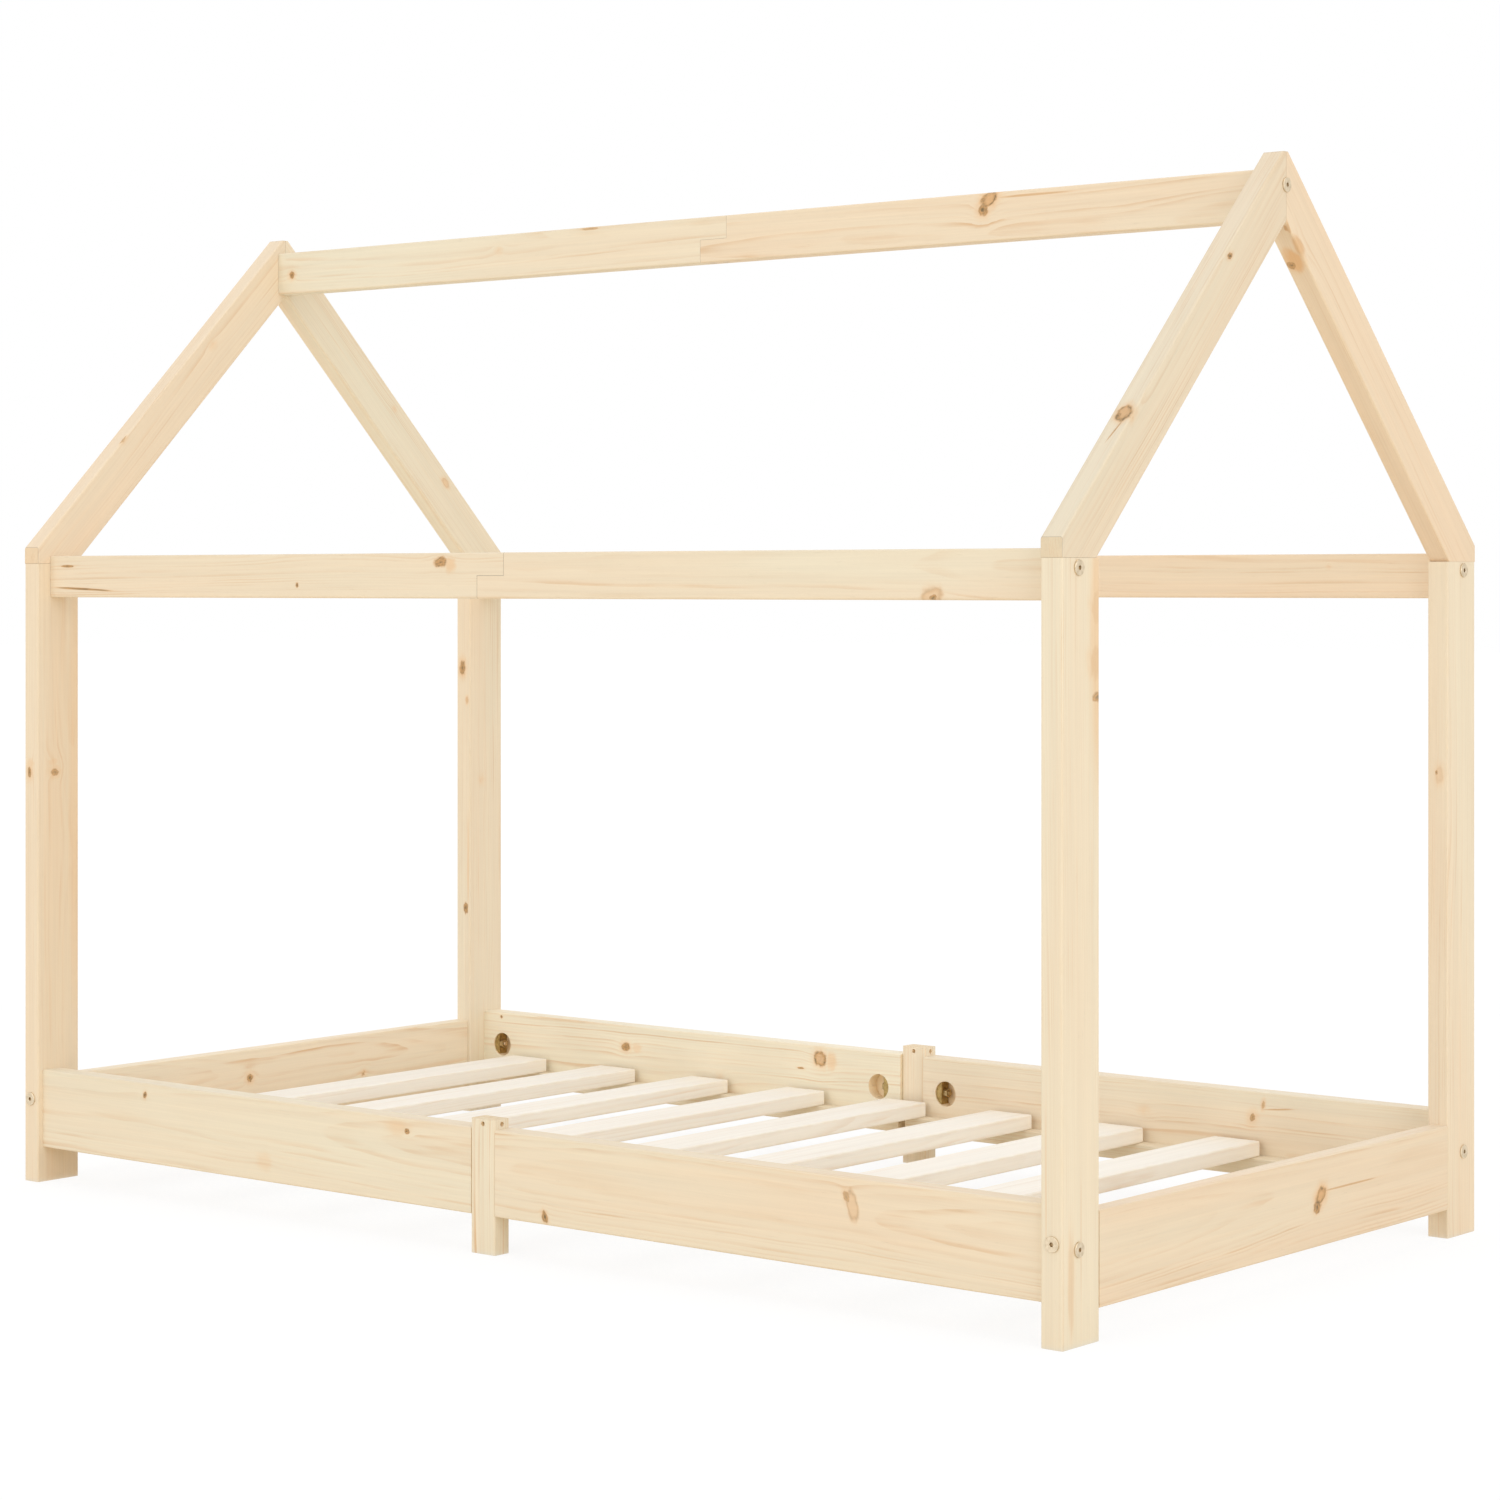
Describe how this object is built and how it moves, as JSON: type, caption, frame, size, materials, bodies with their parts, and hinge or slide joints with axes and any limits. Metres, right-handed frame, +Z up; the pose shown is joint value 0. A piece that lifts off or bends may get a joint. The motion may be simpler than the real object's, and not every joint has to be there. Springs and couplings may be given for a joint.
{
  "type": "kids bed frame",
  "caption": "House-shaped pine bed frame for a child: corner posts, gabled rafters, ridge and top rails over a low slatted base with side and end boards.",
  "frame": {"origin": "on the floor, at the middle of the bed's length and width", "axes": "+Z up, +X along the bed towards its right end, +Y across the bed towards its far side"},
  "size_m": [1.4636, 0.7836, 1.122],
  "materials": {
    "pine": "smooth-sanded unfinished pine with fine grain and small knots",
    "pale_pine": "pale planed softwood",
    "dowel_beech": "plain beech dowel",
    "zinc_steel": "satin zinc plate",
    "dark_steel": "dull plated steel",
    "insert_brass": "plain threaded insert"
  },
  "bodies": {
    "root": {"near_left_post": "pine", "near_right_post": "pine", "far_left_post": "pine", "far_right_post": "pine", "near_left_rafter": "pine", "near_right_rafter": "pine", "far_left_rafter": "pine", "far_right_rafter": "pine", "ridge_beam_left": "pine", "ridge_beam_right": "pine", "near_left_top_rail": "pine", "near_right_top_rail": "pine", "far_left_top_rail": "pine", "far_right_top_rail": "pine", "near_left_side_board": "pine", "near_right_side_board": "pine", "far_left_side_board": "pine", "far_right_side_board": "pine", "left_end_board": "pine", "right_end_board": "pine", "near_centre_leg": "pine", "far_centre_leg": "pine", "near_left_batten": "pine", "near_right_batten": "pine", "far_left_batten": "pine", "far_right_batten": "pine", "slat_1": "pale_pine", "slat_2": "pale_pine", "slat_3": "pale_pine", "slat_4": "pale_pine", "slat_5": "pale_pine", "slat_6": "pale_pine", "slat_7": "pale_pine", "slat_8": "pale_pine", "slat_9": "pale_pine", "rail_bolts": "zinc_steel", "side_board_bolts": "zinc_steel", "end_board_bolts": "zinc_steel", "ridge_bolts": "zinc_steel", "leg_rods": "zinc_steel", "half_moon_washers": "dark_steel", "hex_nuts": "zinc_steel", "rail_inserts": "insert_brass", "end_board_inserts": "insert_brass", "ridge_inserts": "insert_brass", "rafter_foot_dowels": "dowel_beech", "apex_dowels": "dowel_beech", "ridge_dowels": "dowel_beech", "rail_dowels": "dowel_beech", "side_board_dowels": "dowel_beech", "end_board_dowels": "dowel_beech", "leg_dowels": "dowel_beech", "lap_screws": "zinc_steel", "batten_screws": "zinc_steel", "slat_screws": "zinc_steel"}
  },
  "joints": []
}
